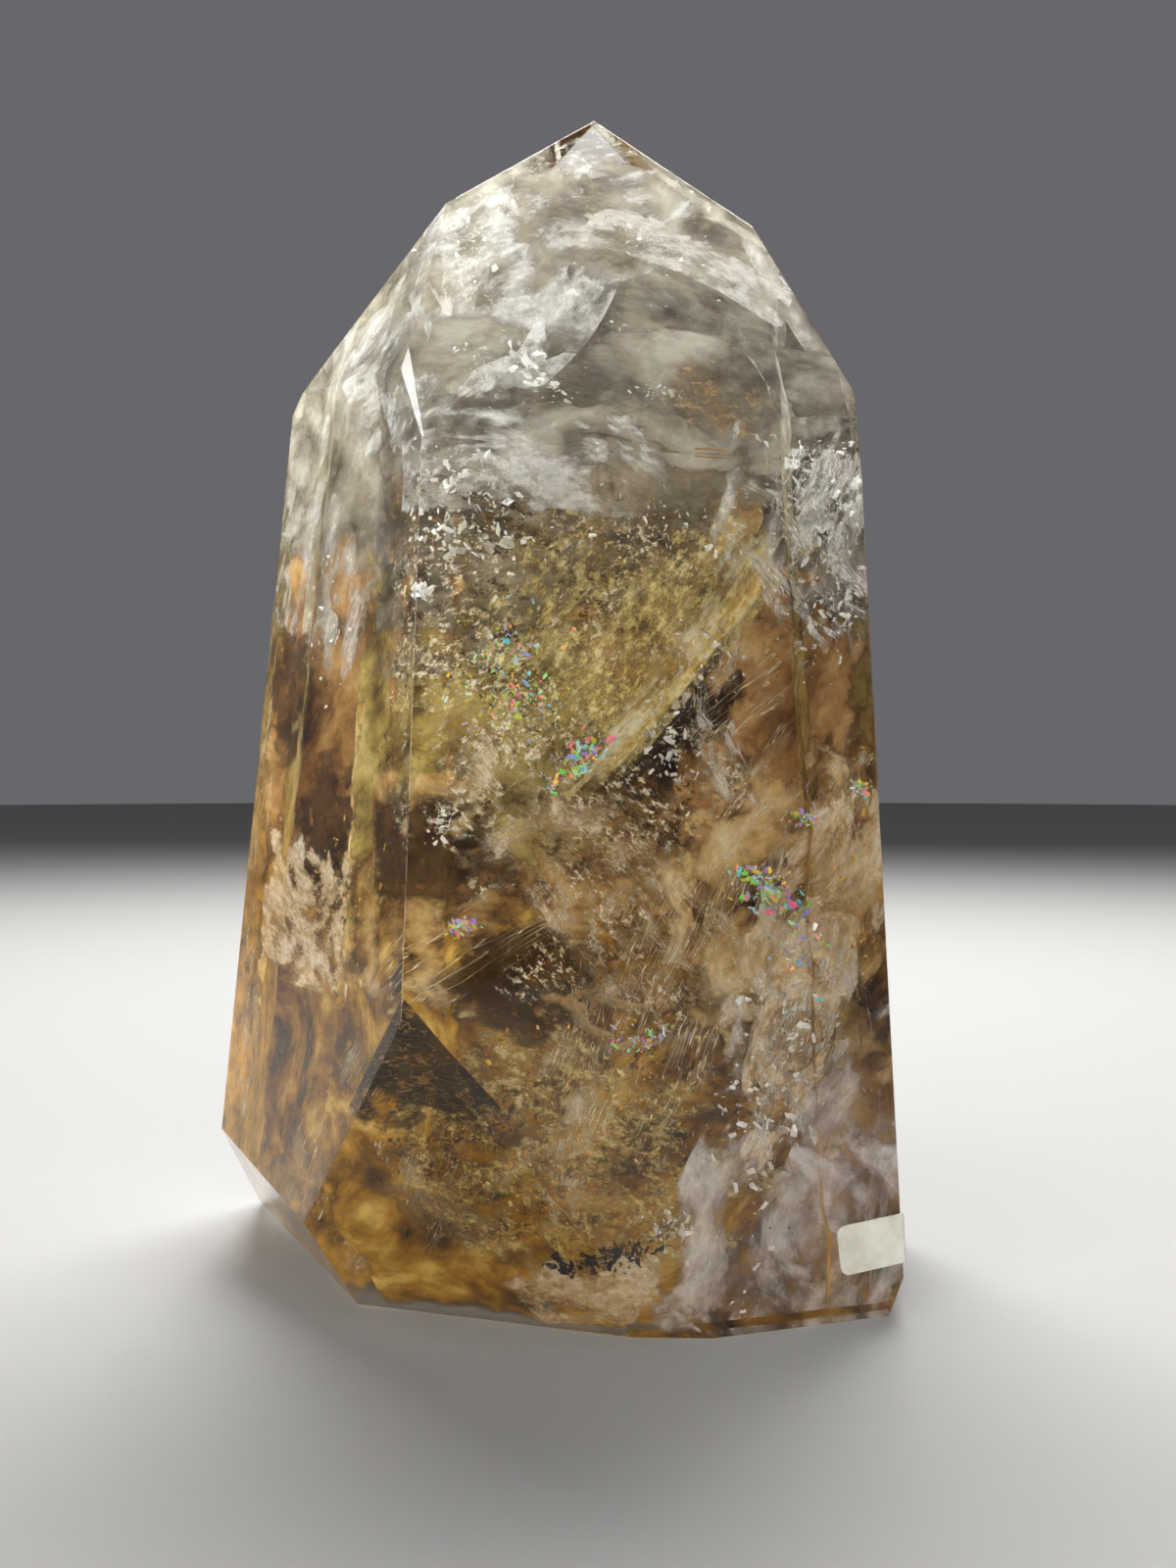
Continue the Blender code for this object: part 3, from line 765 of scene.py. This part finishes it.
def growNeedle():
    bpy.ops.mesh.primitive_cone_add(
        vertices=8, radius1=needleShape["radius"] * mm, radius2=needleShape["tip"] * mm,
        depth=needleShape["length"] * mm)
    needle = bpy.context.active_object
    needle.name = "golden_needle"
    needle.matrix_world = (Matrix.Translation(Vector(needleShape["at"]) * mm)
                           @ turnTo(needleShape["bearing"], 0, 0)
                           @ Matrix.Rotation(math.radians(needleShape["lay"]), 4, "Y"))
    bpy.ops.object.transform_apply(location=True, rotation=True, scale=True)
    keepInside(needle, flakeMaterials["goldFlake"])


growNeedle()
print("needle grown")

# the label: its noises are per metre, so pulp of about 1 mm, drawn coarser than real fibres so that it shows,
# and wear in patches of 6 mm
labelLook = {"pulp": 900.0, "wear": 160.0, "pulpShare": 0.35, "roughness": 0.62, "bump": 0.25,
             "bumpHeight": 0.1 * mm, "tones": ((0.3, "#a9a596"), (0.45, "#bdb9ab"), (0.6, "#cbc8bb"))}


# uncoated label paper, aged a little: matt and off-white, greyer where it is handled
def makeLabelPaper():
    material, tree, output = startMaterial("matLabelPaper")
    place = addNode(tree, "ShaderNodeTexCoord")
    pulp = addNode(tree, "ShaderNodeTexNoise", {"Scale": labelLook["pulp"], "Detail": 4.0},
                   {"Vector": place.outputs["Object"]})
    wear = addNode(tree, "ShaderNodeTexNoise", {"Scale": labelLook["wear"], "Detail": 3.0},
                   {"Vector": place.outputs["Object"]})
    most = addNode(tree, "ShaderNodeMath", {"operation": "MULTIPLY", 1: 1 - labelLook["pulpShare"]},
                   {0: wear.outputs["Fac"]})
    mixed = addNode(tree, "ShaderNodeMath", {"operation": "MULTIPLY_ADD", 1: labelLook["pulpShare"]},
                    {0: pulp.outputs["Fac"], 2: most.outputs[0]})
    paint = addRamp(tree, mixed.outputs[0], labelLook["tones"])
    bump = addNode(tree, "ShaderNodeBump", {
        "Strength": labelLook["bump"], "Distance": labelLook["bumpHeight"]}, {"Height": pulp.outputs["Fac"]})
    paper = addNode(tree, "ShaderNodeBsdfPrincipled", {"Roughness": labelLook["roughness"]},
                    {"Base Color": paint.outputs["Color"], "Normal": bump.outputs["Normal"]})
    tree.links.new(paper.outputs[0], output.inputs["Surface"])
    return material


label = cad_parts["paper_label"]
label.data.materials.clear()
label.data.materials.append(makeLabelPaper())
print("label finished")

# the floor lies just under the base
floorLook = {"radius": 3.0, "drop": 0.4 * mm, "colour": "#939290", "roughness": 0.8}


# painted studio board: an even matt grey-white
def makeFloor():
    clearSelection()
    bpy.ops.mesh.primitive_circle_add(vertices=96, radius=floorLook["radius"], fill_type="NGON",
                                      location=(0, 0, -floorLook["drop"]))
    floor = bpy.context.active_object
    floor.name = "floor"
    bpy.ops.object.transform_apply(location=True, rotation=True, scale=True)
    material, tree, output = startMaterial("paleFloor")
    shade = addNode(tree, "ShaderNodeBsdfPrincipled", {
        "Base Color": linear(floorLook["colour"]), "Roughness": floorLook["roughness"]})
    tree.links.new(shade.outputs[0], output.inputs["Surface"])
    floor.data.materials.append(material)
    return floor


floor = makeFloor()

# lights: places and sizes in metres, power in watts
studio = {"wall": "#77767a", "wallStrength": 0.75, "crownSpread": 60, "crownColour": (0.94, 1.0, 0.98)}
lamps = {
    "topLight": dict(place=(0.05, 0.5, 0.75), aim=(0, 0, 0.15), size=(0.8, 0.5), power=22),
    "frontFill": dict(place=(-0.3, -1.0, 0.26), aim=(0, 0, 0.11), size=(1.6, 0.8), power=20),
    # lights the milky top from above
    "crownLight": dict(place=(-0.3, -0.2, 0.7), aim=(0, 0, 0.165), size=(0.4, 0.4), power=14),
    # a small card that the narrow facet at the left mirrors
    "glintCard": dict(place=(-0.16, -0.18, 0.7), aim=(0, 0, 0.165), size=(0.13, 0.13), power=0.6),
}


def hangLamp(name, place, aim, size, power):
    data = bpy.data.lights.new(name, "AREA")
    data.shape = "RECTANGLE"
    data.size, data.size_y = size
    data.energy = power
    lamp = putInScene(name, data)
    lamp.location = place
    lamp.rotation_euler = (Vector(aim) - Vector(place)).to_track_quat("-Z", "Y").to_euler()
    return lamp


world = bpy.data.worlds.new("studio")
bpy.context.scene.world = world
world.use_nodes = True
wall = world.node_tree.nodes["Background"]
wall.inputs["Color"].default_value = linear(studio["wall"])
wall.inputs["Strength"].default_value = studio["wallStrength"]

hung = {name: hangLamp(name, **lamp) for name, lamp in lamps.items()}
crown = hung["crownLight"]
crown.data.spread = math.radians(studio["crownSpread"])
crown.data.color = studio["crownColour"]
crown.visible_glossy = False
# flags keep the crown light off the floor and the paper
flagged = bpy.data.collections.new("flagged")
for piece in (floor, label):
    flagged.objects.link(piece)
for item in flagged.collection_objects:
    item.light_linking.link_state = "EXCLUDE"
crown.light_linking.receiver_collection = flagged

# the camera: lens and sensor in mm, the rest in metres and degrees. The bounces are how often a light ray may
# turn, and pass through a veil, before it is let go.
view = {"lens": 36, "sensor": 36, "near": 0.01, "place": (0.00482, -0.26277, 0.084), "down": 0.82}
bounces = {"max_bounces": 6, "diffuse_bounces": 2, "glossy_bounces": 5, "transmission_bounces": 6,
           "transparent_max_bounces": 12}

lens = bpy.data.cameras.new("camera")
lens.lens = view["lens"]
lens.sensor_width = view["sensor"]
lens.clip_start = view["near"]
camera = putInScene("camera", lens)
camera.location = view["place"]
camera.rotation_euler = (math.radians(90 - view["down"]), 0, 0)
scene = bpy.context.scene
scene.camera = camera
scene.view_settings.view_transform = "Standard"
for name, most in bounces.items():
    setattr(scene.cycles, name, most)
print("studio set")
